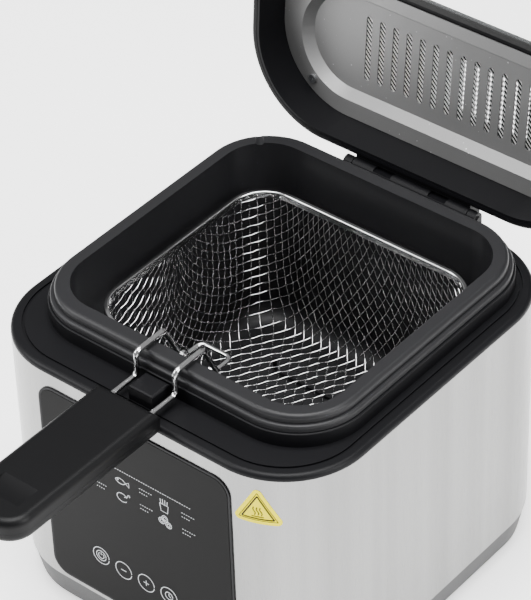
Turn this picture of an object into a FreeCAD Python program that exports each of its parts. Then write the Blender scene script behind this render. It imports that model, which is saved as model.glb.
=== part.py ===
import FreeCAD, Part
import math
import os

# Compact deep fryer with a hinged lid, lift-out pot and wire basket.
# Millimetres; +Z up, front is -Y; the origin is the centre of the footprint on the table.

V = FreeCAD.Vector
X_AXIS = V(1, 0, 0)
Y_AXIS = V(0, 1, 0)
Z_AXIS = V(0, 0, 1)

# ---- driving dimensions ----
BODY_X = 130.0
BODY_Y = 134.0
BODY_R = 57.3
SHEET = 0.8
FOOT_H = 6.0
PLINTH_Z = 5.0
SHELL_Z = 25.0
FRAME_Z = 195.0
FRAME_TOP = 199.0
COLLAR_TOP = 209.0
PLINTH_WALL = 3.0

POT_Y = 9.5
POT_TOP = 219.2
POT_FLOOR = 74.0
POT_WALL = 1.4
POT_IN_X = 102.4
POT_IN_Y = 101.4
POT_IN_R = 31.6
POT_RIM = 112.1
POT_RIM_R = 42.5
POT_BEAD = 115.0
POT_BEAD_TOP = 213.6
RIM_WALL = 1.6

BASKET_Y = 12.4
BASKET_X = 90.8
BASKET_HALF_Y = 83.2
BASKET_R = 26.4
BASKET_TOP = 192.6
BASKET_FLOOR = 88.0
BASKET_TAPER = 4.5
BASKET_SKIN = 0.6
RIM_BAND = 4.0
RIM_INSIDE = 1.7

WIRE_R = 1.9
WIRE_BEND = 4.0
STUB_BEND = 2.0
LOOP_R = 1.5
LOOP_BEND = 4.5
WIRE_X = 15.3
WIRE_LOW_Z = 205.5
WIRE_TOP_Z = 222.6
WIRE_UP_Y = -110.0
WIRE_IN_Y = -84.0
PIVOT_Y = -72.0
PIVOT_Z = 196.6

GRIP_X = 24.0
GRIP_Y0 = -134.6
GRIP_Y1 = -262.0
GRIP_Z0 = 195.5
GRIP_Z1 = 212.5
GRIP_SPLIT = 203.0

HINGE_Y = 141.5
HINGE_Z = 200.0
LID_OPEN = 95.0
LID_RIM_Z = 199.5
LID_X = 136.0
LID_R = 62.0
LID_BACK = 135.0
LID_FRONT = -130.0
LID_SKIN_Z = 227.3
LID_WALL = 4.6
LID_ROUND = 3.0
LINER_WALL = 1.8
PLATE_INSET = 7.0
PLATE_FRONT = 27.8
PLATE_T = 0.8
PANEL_X = 109.0
PANEL_BACK = 110.6
PANEL_FRONT = 42.0
PANEL_R = 37.0
PANEL_SLOPE = 5.2
PANEL_DROP = 7.0
SLOT_PITCH = 10.75
SLOT_COUNT = 13
SLOT_W = 4.6
SLOT_BACK = 100.4
SLOT_FRONT = 52.4
WINDOW_X = 88.0
WINDOW_BACK = 24.2
WINDOW_FRONT = -94.0
WINDOW_R = 20.0

TOUCH_X = 76.0
TOUCH_Z0 = 29.0
TOUCH_Z1 = 185.0
TOUCH_R = 12.0


# ---- helpers ----
def outline(half_x, half_y, radius, z, cy=0.0, cx=0.0):
    """Closed rounded-rectangle wire at height z."""
    ix = half_x - radius
    iy = half_y - radius
    d = radius * math.sqrt(0.5)
    edges = []
    corners = ((ix, iy, 1, 1), (-ix, iy, -1, 1), (-ix, -iy, -1, -1), (ix, -iy, 1, -1))
    ends = []
    for px, py, sx, sy in corners:
        side = V(cx + px + sx * radius, cy + py, z)
        end = V(cx + px, cy + py + sy * radius, z)
        mid = V(cx + px + sx * d, cy + py + sy * d, z)
        if sx * sy < 0:
            side, end = end, side
        edges.append(Part.Arc(side, mid, end).toShape())
        ends.append((side, end))
    loop = []
    for i in range(4):
        loop.append(edges[i])
        a = ends[i][1]
        b = ends[(i + 1) % 4][0]
        if a.distanceToPoint(b) > 1e-6:
            loop.append(Part.makeLine(a, b))
    return Part.Wire(loop)


def slab(half_x, half_y, radius, z0, z1, cy=0.0, cx=0.0):
    """Rounded-rectangle prism between two heights."""
    return Part.Face(outline(half_x, half_y, radius, z0, cy, cx)).extrude(V(0, 0, z1 - z0))


def taper(low, high, z0, z1, cy=0.0, cx=0.0):
    """Loft between two rounded rectangles, each (half_x, half_y, radius)."""
    return Part.makeLoft([outline(*low, z0, cy, cx), outline(*high, z1, cy, cx)], True, True)


def box(x0, y0, z0, x1, y1, z1):
    """Axis-aligned block from two corners."""
    return Part.makeBox(x1 - x0, y1 - y0, z1 - z0, V(x0, y0, z0))


def rod(radius, start, end):
    """Cylinder between two points."""
    a = V(*start)
    axis = V(*end) - a
    return Part.makeCylinder(radius, axis.Length, a, axis)


def path(points, bends):
    """Open wire through the points with each inside corner rounded by its own radius."""
    pts = [V(*p) for p in points]
    edges = []
    last = pts[0]
    for i in range(1, len(pts) - 1):
        u = (pts[i - 1] - pts[i]).normalize()
        w = (pts[i + 1] - pts[i]).normalize()
        half = u.getAngle(w) / 2
        bend = bends[i - 1]
        back = bend / math.tan(half)
        a = pts[i] + u * back
        b = pts[i] + w * back
        centre = pts[i] + (u + w).normalize() * (bend / math.sin(half))
        m = centre + (pts[i] - centre).normalize() * bend
        edges.append(Part.makeLine(last, a))
        edges.append(Part.Arc(a, m, b).toShape())
        last = b
    edges.append(Part.makeLine(last, pts[-1]))
    return Part.Wire(edges)


def bent_rod(points, radius, bend):
    """Round wire swept along a bent path; bend is one radius or one per corner."""
    bends = bend if isinstance(bend, tuple) else (bend,) * (len(points) - 2)
    spine = path(points, bends)
    start = V(*points[0])
    heading = V(*points[1]) - start
    ring = Part.Wire(Part.Circle(start, heading, radius).toShape())
    return spine.makePipeShell([ring], True, False)


def edges_at(shape, z, tol=0.01):
    """Edges that lie wholly at one height."""
    return [e for e in shape.Edges if abs(e.BoundBox.ZMin - z) < tol and abs(e.BoundBox.ZMax - z) < tol]


def rounded(shape, z, radius):
    """Fillet every edge at height z."""
    return shape.makeFillet(radius, edges_at(shape, z))


def fused(shapes):
    """One clean solid from several touching ones."""
    whole = shapes[0]
    for s in shapes[1:]:
        whole = whole.fuse(s)
    return whole.removeSplitter()


def group(shapes):
    """Separate solids kept together in one node."""
    return Part.makeCompound(shapes)


def opened(shape):
    """A lid piece built closed, swung to the open pose."""
    moved = shape.copy()
    moved.rotate(V(0, HINGE_Y, HINGE_Z), X_AXIS, -LID_OPEN)
    return moved


def screw(x, y, z, shank=8.0, radius=2.0, head_r=3.6, head_h=2.2, up=True):
    """Pan-head screw with a cross recess; head at z, shank the other way."""
    s = 1 if up else -1
    head = rod(head_r, (x, y, z), (x, y, z + s * head_h))
    shaft = rod(radius, (x, y, z), (x, y, z - s * shank))
    body = head.fuse(shaft)
    for w, d in ((head_r, 0.5), (0.5, head_r)):
        z0 = z + s * (head_h - 1.0)
        z1 = z + s * (head_h + 0.5)
        body = body.cut(box(x - w / 1.6, y - d / 1.6, min(z0, z1), x + w / 1.6, y + d / 1.6, max(z0, z1)))
    return body


parts = {}

# ---- body shell, plinth and feet ----
shell = slab(BODY_X, BODY_Y, BODY_R, SHELL_Z, FRAME_Z)
shell = shell.cut(slab(BODY_X - SHEET, BODY_Y - SHEET, BODY_R - SHEET, SHELL_Z, FRAME_Z))
TOUCH_CUT_X = TOUCH_X - 2.0
DECAL_TURN = -69.0  # degrees round the near corner
DECAL_Z = 170.0
DECAL_SPAN = 19.5  # middle to sharp tip
DECAL_ROUND = 3.0


def front_slab(half_x, z0, z1, radius, depth_front, depth_back, cx=0.0):
    """Rounded plate facing -Y between two Y positions."""
    plate = slab(half_x, (z1 - z0) / 2, radius, -depth_front, -depth_back, (z0 + z1) / 2, cx)
    turned = plate.copy()
    turned.rotate(V(0, 0, 0), X_AXIS, 90)
    return turned


shell = shell.cut(front_slab(TOUCH_CUT_X, TOUCH_Z0 + 2, TOUCH_Z1 - 2, TOUCH_R - 2, -BODY_Y - 5,
    -BODY_Y + 5))
GLAND_X = -70.0
GLAND_Z = 46.0
GLAND_R = 8.0
gland_hole = rod(GLAND_R, (GLAND_X, BODY_Y - 8, GLAND_Z), (GLAND_X, BODY_Y + 8, GLAND_Z))
shell = shell.cut(gland_hole)
RESET_X = 66.0
RESET_Z = 60.0
RESET_R = 5.0
shell = shell.cut(rod(RESET_R + 2.0, (RESET_X, BODY_Y - 8, RESET_Z), (RESET_X, BODY_Y + 8, RESET_Z)))
bend_x = BODY_X - BODY_R
bend_y = BODY_Y - BODY_R
X_RUNS = ((-BODY_X, -bend_x), (-bend_x, bend_x), (bend_x, BODY_X))
Y_RUNS = ((-BODY_Y, -bend_y), (-bend_y, bend_y), (bend_y, BODY_Y))
runs = []
for x0, x1 in X_RUNS:
    for y0, y1 in Y_RUNS:
        runs += shell.common(box(x0, y0, SHELL_Z, x1, y1, FRAME_Z)).Solids
parts["steel_shell"] = group(runs)

plinth_low = (BODY_X - 4.5, BODY_Y - 4.5, BODY_R - 4.5)
plinth_high = (BODY_X - 0.3, BODY_Y - 0.3, BODY_R - 0.3)
plinth = taper(plinth_low, plinth_high, PLINTH_Z, SHELL_Z)
cavity_low = tuple(v - PLINTH_WALL for v in plinth_low)
cavity_high = tuple(v - PLINTH_WALL for v in plinth_high)
plinth = plinth.cut(taper(cavity_low, cavity_high, PLINTH_Z + PLINTH_WALL, SHELL_Z))
tongue_out = BODY_X - SHEET - 0.2
tongue = slab(tongue_out, tongue_out + 4, BODY_R - 1.0, SHELL_Z - 6, SHELL_Z + 2)
tongue = tongue.cut(slab(tongue_out - 2, tongue_out + 2, BODY_R - 3.0, SHELL_Z - 6, SHELL_Z + 2))
plinth = plinth.fuse(tongue.common(slab(BODY_X, BODY_Y, BODY_R, SHELL_Z - 2.5, SHELL_Z + 2)))
FEET = [(sx * 88.0, sy * 92.0) for sx in (-1, 1) for sy in (-1, 1)] + [(0.0, 0.0)]
for fx, fy in FEET:
    plinth = plinth.cut(rod(6.2, (fx, fy, 0), (fx, fy, PLINTH_Z + PLINTH_WALL)))
SCREW_R = 1.6
SCREW_SPOTS = [(sx * 104.9, sy * 108.9) for sx in (-1, 1) for sy in (-1, 1)]
for px, py in SCREW_SPOTS:
    plinth = plinth.cut(rod(SCREW_R + 0.05, (px, py, 0), (px, py, PLINTH_Z + PLINTH_WALL + 1)))
for i in range(9):
    vx = -48.0 + 12.0 * i
    for vy in (-60.0, 60.0):
        plinth = plinth.cut(slab(1.6, 14.0, 1.59, 0, PLINTH_Z + PLINTH_WALL + 1, vy, vx))
parts["base_plinth"] = plinth.removeSplitter()

feet = []
for fx, fy in FEET:
    pad = rounded(rod(13.0, (fx, fy, 0), (fx, fy, PLINTH_Z)), 0, 1.5)
    stem = rod(6.2, (fx, fy, PLINTH_Z - 1), (fx, fy, PLINTH_Z + PLINTH_WALL))
    barb = rod(7.4, (fx, fy, PLINTH_Z + PLINTH_WALL), (fx, fy, PLINTH_Z + PLINTH_WALL + 2))
    feet.append(fused([pad, stem, barb]))
parts["rubber_feet"] = group(feet)

# ---- top frame with its collar ----
pot_out = (POT_IN_X + POT_WALL, POT_IN_Y + POT_WALL, POT_IN_R + POT_WALL)
opening = tuple(v + 1.6 for v in pot_out)
frame = slab(BODY_X, BODY_Y, BODY_R, FRAME_Z, FRAME_TOP)
frame = rounded(frame, FRAME_TOP, 3.4)
lip_gap = SHEET + 0.2
frame = frame.fuse(slab(BODY_X - lip_gap, BODY_Y - lip_gap, BODY_R - lip_gap, FRAME_Z - 6, FRAME_Z))
frame = frame.cut(slab(BODY_X - lip_gap - 2.5, BODY_Y - lip_gap - 2.5, BODY_R - lip_gap - 2.5,
    FRAME_Z - 6, FRAME_Z - 0.5))
groove = slab(BODY_X - 7.0, BODY_Y - 7.0, BODY_R - 7.0, FRAME_TOP - 1.2, FRAME_TOP + 1)
groove = groove.cut(slab(BODY_X - 9.0, BODY_Y - 9.0, BODY_R - 9.0, FRAME_TOP - 1.2, FRAME_TOP + 1))
frame = frame.cut(groove)
COLLAR = POT_RIM + 4.4
COLLAR_R = POT_RIM_R + 4.4
frame = frame.fuse(rounded(slab(COLLAR, COLLAR, COLLAR_R, FRAME_Z, COLLAR_TOP, POT_Y), COLLAR_TOP, 0.8))
frame = frame.cut(slab(COLLAR - 2.6, COLLAR - 2.6, COLLAR_R - 2.6, FRAME_Z - 6, COLLAR_TOP - 2.4, POT_Y))
frame = frame.cut(slab(*opening, FRAME_Z - 6, COLLAR_TOP, POT_Y))
hinge_base = box(-53, BODY_Y - 6, 184, 53, BODY_Y + 3, FRAME_TOP - 1.0)
frame = frame.fuse(hinge_base.cut(slab(BODY_X, BODY_Y, BODY_R, 180, FRAME_Z)))
parts["top_frame"] = frame.removeSplitter()

rods = [rod(2.5, (px, py, PLINTH_Z + PLINTH_WALL), (px, py, FRAME_Z - 0.55)) for px, py in SCREW_SPOTS]
parts["tie_rods"] = group(rods)
parts["base_screws"] = group([screw(px, py, PLINTH_Z - 0.02, 2.6, SCREW_R, 3.4, 1.8, False)
    for px, py in SCREW_SPOTS])

block = box(-9.5, -124.4, FRAME_TOP, 9.5, -108.4, 209.6)
block = block.makeFillet(1.6, [e for e in block.Edges if e.BoundBox.ZMin > FRAME_TOP + 0.1])
parts["handle_guide_block"] = block

# ---- inner pot ----
pot = rounded(slab(*pot_out, POT_FLOOR, POT_TOP - 2, POT_Y), POT_FLOOR, 15.0)
cup = rounded(slab(POT_IN_X, POT_IN_Y, POT_IN_R, POT_FLOOR + POT_WALL, POT_TOP + 1, POT_Y),
    POT_FLOOR + POT_WALL, 13.6)
rim = rounded(slab(POT_RIM, POT_RIM, POT_RIM_R, POT_BEAD_TOP - 1, POT_TOP, POT_Y), POT_TOP, 3.0)
bead = slab(POT_BEAD, POT_BEAD, POT_RIM_R + 2.9, COLLAR_TOP + 0.3, POT_BEAD_TOP, POT_Y)
bead = rounded(bead, POT_BEAD_TOP, 1.8)
hollow = slab(POT_RIM - RIM_WALL, POT_RIM - RIM_WALL, POT_RIM_R - RIM_WALL, COLLAR_TOP,
    POT_TOP - RIM_WALL, POT_Y)
hollow = hollow.cut(slab(*pot_out, COLLAR_TOP, POT_TOP, POT_Y))
pot = pot.fuse(rim).fuse(bead).cut(hollow).cut(cup)
spout = rod(3.2, (-POT_IN_X + 16, POT_IN_Y + POT_Y - 16, POT_TOP + 1.6),
    (-POT_RIM - 4, POT_RIM + POT_Y + 4, POT_TOP + 1.6))
parts["inner_pot"] = pot.cut(spout).removeSplitter()

# ---- heater, shields and controls inside the body ----
HEAT_Z = POT_FLOOR - 0.4
heat_plate = slab(88, 88, 30, HEAT_Z - 4.0, HEAT_Z, POT_Y)
parts["heater_plate"] = heat_plate
coil_z = HEAT_Z - 4.0 - 3.2
coil_pts = [(-18, -100, coil_z), (-18, -70, coil_z), (-66, -58, coil_z), (-66, 78, coil_z),
            (66, 78, coil_z), (66, -58, coil_z), (18, -70, coil_z), (18, -100, coil_z)]
coil = bent_rod(coil_pts, 3.2, 16.0)
tips = [rod(1.4, (sx * 18, -110, coil_z), (sx * 18, -100, coil_z)) for sx in (-1, 1)]
parts["heating_element"] = fused([coil] + tips)
SHIELD_WALL = 0.6
shield_x = POT_IN_X + 9.0
shield = slab(shield_x, shield_x, 40.0, 52.0, FRAME_Z - 6.4, POT_Y)
shield_in = shield_x - SHIELD_WALL
shield = shield.cut(slab(shield_in, shield_in, 40.0 - SHIELD_WALL, 52.0 + SHIELD_WALL, FRAME_Z, POT_Y))
shield = shield.cut(box(-30, POT_Y - shield_x - 2, coil_z - 8, 30, POT_Y - shield_x + 4, coil_z + 8))
shield = shield.cut(rod(7.0, (0, POT_Y, 50), (0, POT_Y, 54)))
shield = shield.cut(rod(2.2, (40, POT_Y, 50), (40, POT_Y, 54)))
shield = shield.cut(rod(2.2, (-40, POT_Y, 50), (-40, POT_Y, 54)))
parts["heat_shield"] = shield
pillars = []
for sx in (-1, 1):
    pillars.append(rod(6.0, (sx * 92, POT_Y - 60, PLINTH_Z + PLINTH_WALL), (sx * 92, POT_Y - 60, 52.0)))
    pillars.append(rod(6.0, (sx * 92, POT_Y + 60, PLINTH_Z + PLINTH_WALL), (sx * 92, POT_Y + 60, 52.0)))
parts["shield_pillars"] = group(pillars)
probe = fused([rod(6.0, (0, POT_Y, HEAT_Z - 16), (0, POT_Y, HEAT_Z - 4)),
    rod(3.0, (0, POT_Y, 40), (0, POT_Y, HEAT_Z - 16))])
parts["temperature_probe"] = probe
cutout = fused([rod(7.0, (34, POT_Y + 30, HEAT_Z - 12), (34, POT_Y + 30, HEAT_Z - 4)),
                box(32.5, POT_Y + 34, HEAT_Z - 11, 35.5, POT_Y + 44, HEAT_Z - 10)])
parts["thermal_cutout"] = cutout

bezel = front_slab(TOUCH_X, TOUCH_Z0, TOUCH_Z1, TOUCH_R, -BODY_Y - 0.9, -BODY_Y)
bezel = bezel.fuse(front_slab(TOUCH_CUT_X - 0.3, TOUCH_Z0 + 2.3, TOUCH_Z1 - 2.3, TOUCH_R - 2.3, -BODY_Y,
    -BODY_Y + 9))
bezel = bezel.cut(front_slab(TOUCH_X - 1.6, TOUCH_Z0 + 1.6, TOUCH_Z1 - 1.6, TOUCH_R - 1.6, -BODY_Y - 2,
    -BODY_Y - 0.1))
bezel = bezel.cut(front_slab(TOUCH_CUT_X - 2.3, TOUCH_Z0 + 4.3, TOUCH_Z1 - 4.3, TOUCH_R - 4.3,
    -BODY_Y - 2, -BODY_Y + 7))
parts["panel_bezel"] = bezel.removeSplitter()
parts["control_panel"] = front_slab(TOUCH_X - 1.8, TOUCH_Z0 + 1.8, TOUCH_Z1 - 1.8, TOUCH_R - 1.8,
                                    -BODY_Y - 1.1, -BODY_Y - 0.1)
board = box(-62, -BODY_Y + 2.4, 40, 62, -BODY_Y + 4.0, 150)
display = box(-34, -BODY_Y + 0.9, 116, 34, -BODY_Y + 2.4, 142)
keys = [rod(6.0, (x, -BODY_Y + 0.9, 62), (x, -BODY_Y + 2.4, 62)) for x in (-35, -12, 12, 35)]
parts["control_board"] = fused([board, display] + keys)
power_board = box(-70, -84, 14, -10, -24, 15.6)
chips = [box(-64, -76, 15.6, -46, -56, 31), rod(6.5, (-28, -66, 15.6), (-28, -66, 34)),
    box(-62, -48, 15.6, -30, -34, 26)]
parts["power_board"] = fused([power_board] + chips)
parts["board_standoffs"] = group([rod(3.0, (x, y, PLINTH_Z + PLINTH_WALL), (x, y, 14)) for x in (-66,
    -14) for y in (-80, -28)])
terminals = box(-84, 76, 12, -52, 96, 28)
for i in range(3):
    terminals = terminals.cut(rod(2.2, (-78 + 10 * i, 70, 20), (-78 + 10 * i, 100, 20)))
parts["terminal_block"] = terminals.fuse(box(-80, 80, PLINTH_Z + PLINTH_WALL, -56, 92, 12)).removeSplitter()

gland = rod(GLAND_R + 2.5, (GLAND_X, BODY_Y, GLAND_Z), (GLAND_X, BODY_Y + 3, GLAND_Z))
gland = gland.fuse(rod(GLAND_R, (GLAND_X, BODY_Y - 3, GLAND_Z), (GLAND_X, BODY_Y, GLAND_Z)))
gland = gland.fuse(rod(6.0, (GLAND_X, BODY_Y + 3, GLAND_Z), (GLAND_X, BODY_Y + 14, GLAND_Z)))
parts["cord_gland"] = gland.cut(rod(3.6, (GLAND_X, BODY_Y - 8, GLAND_Z),
    (GLAND_X, BODY_Y + 16, GLAND_Z))).removeSplitter()
guard = rod(RESET_R + 4.5, (RESET_X, BODY_Y, RESET_Z), (RESET_X, BODY_Y + 2.4, RESET_Z))
guard = guard.fuse(rod(RESET_R + 1.9, (RESET_X, BODY_Y - 7, RESET_Z), (RESET_X, BODY_Y, RESET_Z)))
guard = guard.cut(rod(RESET_R + 0.08, (RESET_X, BODY_Y - 5.5, RESET_Z), (RESET_X, BODY_Y + 6, RESET_Z)))
parts["reset_guard"] = guard.removeSplitter()
parts["reset_button"] = rod(RESET_R, (RESET_X, BODY_Y - 2.2, RESET_Z), (RESET_X, BODY_Y + 2.0, RESET_Z))

corner_x = BODY_X - BODY_R
corner_y = -BODY_Y + BODY_R
decal_plate = slab(BODY_R + 0.25, BODY_R + 0.25, BODY_R + 0.24, 150, 190, corner_y, corner_x)
decal_plate = decal_plate.cut(slab(BODY_R + 0.02, BODY_R + 0.02, BODY_R + 0.01, 150, 190, corner_y,
    corner_x))
tri = []
for k in range(3):
    a = math.pi / 2 + k * 2 * math.pi / 3
    tri.append(V(DECAL_SPAN * math.cos(a), DECAL_SPAN * math.sin(a), 0))
tri_face = Part.Face(Part.makePolygon(tri + [tri[0]]))
prism = tri_face.extrude(V(0, 0, 80))
prism = prism.makeFillet(DECAL_ROUND, [e for e in prism.Edges if e.BoundBox.ZLength > 70])
prism.rotate(V(0, 0, 0), X_AXIS, 90)
prism.rotate(V(0, 0, 0), Z_AXIS, DECAL_TURN + 90)
prism.translate(V(corner_x, corner_y, DECAL_Z))
parts["hot_surface_decal"] = decal_plate.common(prism)

# ---- hinge ----
PIN_R = 2.0
lugs = []
for sx in (-1, 1):
    x0 = min(sx * 46.5, sx * 53)
    x1 = max(sx * 46.5, sx * 53)
    lug = rod(4.6, (x0, HINGE_Y, HINGE_Z), (x1, HINGE_Y, HINGE_Z))
    lug = lug.fuse(box(x0, BODY_Y + 3, 186, x1, HINGE_Y + 4.6, HINGE_Z))
    lugs.append(lug.cut(rod(PIN_R + 0.05, (x0 - 1, HINGE_Y, HINGE_Z), (x1 + 1, HINGE_Y, HINGE_Z))))
base = box(-53, BODY_Y + 3, 184, 53, HINGE_Y + 4.6, 189)
parts["hinge_bracket"] = fused([base] + lugs)
parts["hinge_pin"] = rod(PIN_R, (-54, HINGE_Y, HINGE_Z), (54, HINGE_Y, HINGE_Z))

# ---- lid, built closed ----
LID_MID_Y = (LID_BACK + LID_FRONT) / 2
LID_HALF_Y = (LID_BACK - LID_FRONT) / 2


def lid_slab(inset, z0, z1):
    """Slab that follows the lid outline at an inset."""
    return slab(LID_X - inset, LID_HALF_Y - inset, LID_R - inset, z0, z1, LID_MID_Y)


def front_back_slab(half_x, back, front, radius, z0, z1):
    """Slab on the lid between two Y positions."""
    return slab(half_x, (back - front) / 2, radius, z0, z1, (back + front) / 2)


SKIN_TOP = LID_SKIN_Z + 3.0
HOUSING_TOP = 238.0
WIRE_NOTCH_X = 21.0
WIRE_NOTCH_TOP = 213.2
cover = rounded(lid_slab(0, LID_RIM_Z, SKIN_TOP), SKIN_TOP, 9.0)
cover = rounded(cover, LID_RIM_Z, LID_ROUND)
housing = front_back_slab(120, 122, 24.5, 30, SKIN_TOP - 1, HOUSING_TOP)
cover = cover.fuse(rounded(housing, HOUSING_TOP, 5.0))
cover = cover.cut(lid_slab(LID_WALL, LID_RIM_Z, LID_SKIN_Z))
cover = cover.cut(front_back_slab(117, 119, 27.5, 27, LID_SKIN_Z - 1, HOUSING_TOP - 2.4))
cover = cover.cut(front_back_slab(WINDOW_X, WINDOW_BACK - 4, WINDOW_FRONT, WINDOW_R, LID_SKIN_Z - 1,
    SKIN_TOP + 1))
cover = cover.cut(front_back_slab(WINDOW_X + 4, WINDOW_BACK, WINDOW_FRONT - 4, WINDOW_R + 4,
    LID_SKIN_Z - 1, LID_SKIN_Z + 1.4))
FILTER_X = 74.0
FILTER_BACK = 106.0
FILTER_FRONT = 46.0
cover = cover.cut(front_back_slab(FILTER_X, FILTER_BACK, FILTER_FRONT, 8, HOUSING_TOP - 3, HOUSING_TOP + 1))
notch = front_slab(WIRE_NOTCH_X, LID_RIM_Z - 20, WIRE_NOTCH_TOP, 5.0, LID_FRONT - 3, LID_FRONT + 12)
cover = cover.cut(notch)
ledge = box(-30, LID_FRONT - 8, SKIN_TOP - 12, 30, LID_FRONT + 3, SKIN_TOP - 4)
ledge = ledge.makeFillet(2.5, [e for e in ledge.Edges if e.BoundBox.YMax < LID_FRONT - 7])
cover = cover.fuse(ledge.cut(lid_slab(2.0, LID_RIM_Z, SKIN_TOP)))
BARREL_X = 46.0
barrel = rod(4.6, (-BARREL_X, HINGE_Y, HINGE_Z), (BARREL_X, HINGE_Y, HINGE_Z))
barrel = barrel.fuse(box(-BARREL_X, LID_BACK - 3, HINGE_Z + 1.0, BARREL_X, HINGE_Y + 4.6, HINGE_Z + 12))
for cx in (-22.0, 22.0):
    barrel = barrel.cut(box(cx - 7, HINGE_Y - 5, HINGE_Z - 5, cx + 7, HINGE_Y - 2.9, HINGE_Z + 5))
cover = cover.fuse(barrel)
cover = cover.cut(rod(PIN_R + 0.05, (-50, HINGE_Y, HINGE_Z), (50, HINGE_Y, HINGE_Z)))
parts["lid_cover"] = opened(cover.removeSplitter())

liner = lid_slab(LID_WALL + 0.2, LID_RIM_Z + 0.2, LID_SKIN_Z - 0.3)
liner = liner.cut(lid_slab(LID_WALL + 0.2 + LINER_WALL, LID_RIM_Z, LID_SKIN_Z + 1))
liner = liner.cut(notch)
parts["lid_liner"] = opened(liner)

plate_low = LID_SKIN_Z - PLATE_T - 0.4
plate = lid_slab(PLATE_INSET, plate_low, plate_low + PLATE_T)
plate = plate.common(box(-LID_X, PLATE_FRONT, plate_low - 1, LID_X, LID_BACK, plate_low + 2))
panel_half_y = (PANEL_BACK - PANEL_FRONT) / 2
panel_mid = (PANEL_BACK + PANEL_FRONT) / 2
inner_loop = (PANEL_X, panel_half_y, min(PANEL_R, panel_half_y - 0.5))
outer_loop = tuple(v + PANEL_SLOPE for v in inner_loop)
plate = plate.cut(slab(*outer_loop, plate_low - 1, plate_low + 3, panel_mid))
dish_out = taper(tuple(v + 0.6 for v in outer_loop), tuple(v + 0.6 for v in inner_loop), plate_low,
    plate_low + PANEL_DROP, panel_mid)
dish_in = taper(outer_loop, inner_loop, plate_low, plate_low + PANEL_DROP, panel_mid)
plate = plate.fuse(dish_out).cut(dish_in)
panel_z = plate_low + PANEL_DROP
plate = plate.fuse(slab(*tuple(v + 0.6 for v in inner_loop), panel_z, panel_z + PLATE_T, panel_mid))
SLOT_MID = (SLOT_BACK + SLOT_FRONT) / 2
slots = []
for i in range(SLOT_COUNT):
    sx = (i - (SLOT_COUNT - 1) / 2) * SLOT_PITCH
    slots.append(slab(SLOT_W / 2, (SLOT_BACK - SLOT_FRONT) / 2, SLOT_W / 2 - 0.01, panel_z - 1,
        panel_z + 2, SLOT_MID, sx))
plate = plate.cut(group(slots))
PLATE_SCREWS = [(sx * x, y) for sx in (-1, 1) for x, y in ((103.4, 111.0), (121.0, 35.0))]
for px, py in PLATE_SCREWS:
    plate = plate.cut(rod(1.7, (px, py, plate_low - 2), (px, py, plate_low + 4)))
parts["lid_inner_plate"] = opened(plate.removeSplitter())
parts["plate_screws"] = opened(group([screw(px, py, plate_low - 0.02, 1.1, 1.5, 3.0, 1.4, False) for px,
    py in PLATE_SCREWS]))
mesh_z = panel_z + PLATE_T + 0.15
parts["filter_mesh"] = opened(front_back_slab(80, 108, 45, 8, mesh_z, mesh_z + 0.8))
vent = front_back_slab(FILTER_X - 0.4, FILTER_BACK - 0.4, FILTER_FRONT + 0.4, 7.6, HOUSING_TOP - 2.2,
    HOUSING_TOP + 0.6)
vent = rounded(vent, HOUSING_TOP + 0.6, 1.0)
vents = [slab(1.5, 20.0, 1.49, HOUSING_TOP - 3, HOUSING_TOP + 2, SLOT_MID,
    -60.0 + 10.0 * i) for i in range(13)]
vent = vent.cut(group(vents))
parts["filter_cover"] = opened(vent)
glass = front_back_slab(WINDOW_X + 3.8, WINDOW_BACK - 0.2, WINDOW_FRONT - 3.8, WINDOW_R + 3.8,
    LID_SKIN_Z - 0.2, LID_SKIN_Z + 1.2)
parts["lid_window"] = opened(glass)
gasket = front_back_slab(WINDOW_X + 3.8, WINDOW_BACK - 0.2, WINDOW_FRONT - 3.8, WINDOW_R + 3.8,
    LID_SKIN_Z - 1.8, LID_SKIN_Z - 0.2)
gasket = gasket.cut(front_back_slab(WINDOW_X, WINDOW_BACK - 3.6, WINDOW_FRONT, WINDOW_R, LID_SKIN_Z - 3,
    LID_SKIN_Z + 1))
parts["window_gasket"] = opened(gasket)

# ---- basket ----
def basket_loop(z, extra=0.0):
    """Basket outline at a height, narrowing downwards."""
    f = (BASKET_TOP - z) / (BASKET_TOP - BASKET_FLOOR)
    shrink = BASKET_TAPER * f - extra
    return (BASKET_X - shrink, BASKET_HALF_Y - shrink, BASKET_R - 0.5 * BASKET_TAPER * f + extra)


basket = taper(basket_loop(BASKET_FLOOR), basket_loop(BASKET_TOP), BASKET_FLOOR, BASKET_TOP, BASKET_Y)
basket = basket.makeFillet(11.0, edges_at(basket, BASKET_FLOOR))
hollow_low = basket_loop(BASKET_FLOOR, -BASKET_SKIN)
hollow_top = basket_loop(BASKET_TOP, -BASKET_SKIN)
hollow = taper(hollow_low, hollow_top, BASKET_FLOOR + BASKET_SKIN, BASKET_TOP, BASKET_Y)
hollow = hollow.makeFillet(11.0 - BASKET_SKIN, edges_at(hollow, BASKET_FLOOR + BASKET_SKIN))
skin = basket.cut(hollow)
parts["basket_mesh"] = skin
rim = slab(*basket_loop(BASKET_TOP, 1.4), BASKET_TOP - RIM_BAND, BASKET_TOP + 1.0, BASKET_Y)
rim = rim.cut(slab(*basket_loop(BASKET_TOP, -RIM_INSIDE), BASKET_TOP - RIM_BAND - 1, BASKET_TOP + 2,
    BASKET_Y))
rim = rounded(rim, BASKET_TOP + 1.0, 0.9)
parts["basket_rim"] = rim.cut(skin)
legs = []
for sy in (-1, 1):
    y = BASKET_Y + sy * 46.0
    low = POT_FLOOR + POT_WALL + 1.6
    legs.append(bent_rod([(-50, y, BASKET_FLOOR - 1.0), (-50, y, low), (50, y, low),
        (50, y, BASKET_FLOOR - 1.0)], 1.5, 4.0))
parts["basket_legs"] = group(legs)
rim_front = BASKET_Y - BASKET_HALF_Y - 1.4
EYE_R = 3.4
EYE_X = 12.0
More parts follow.
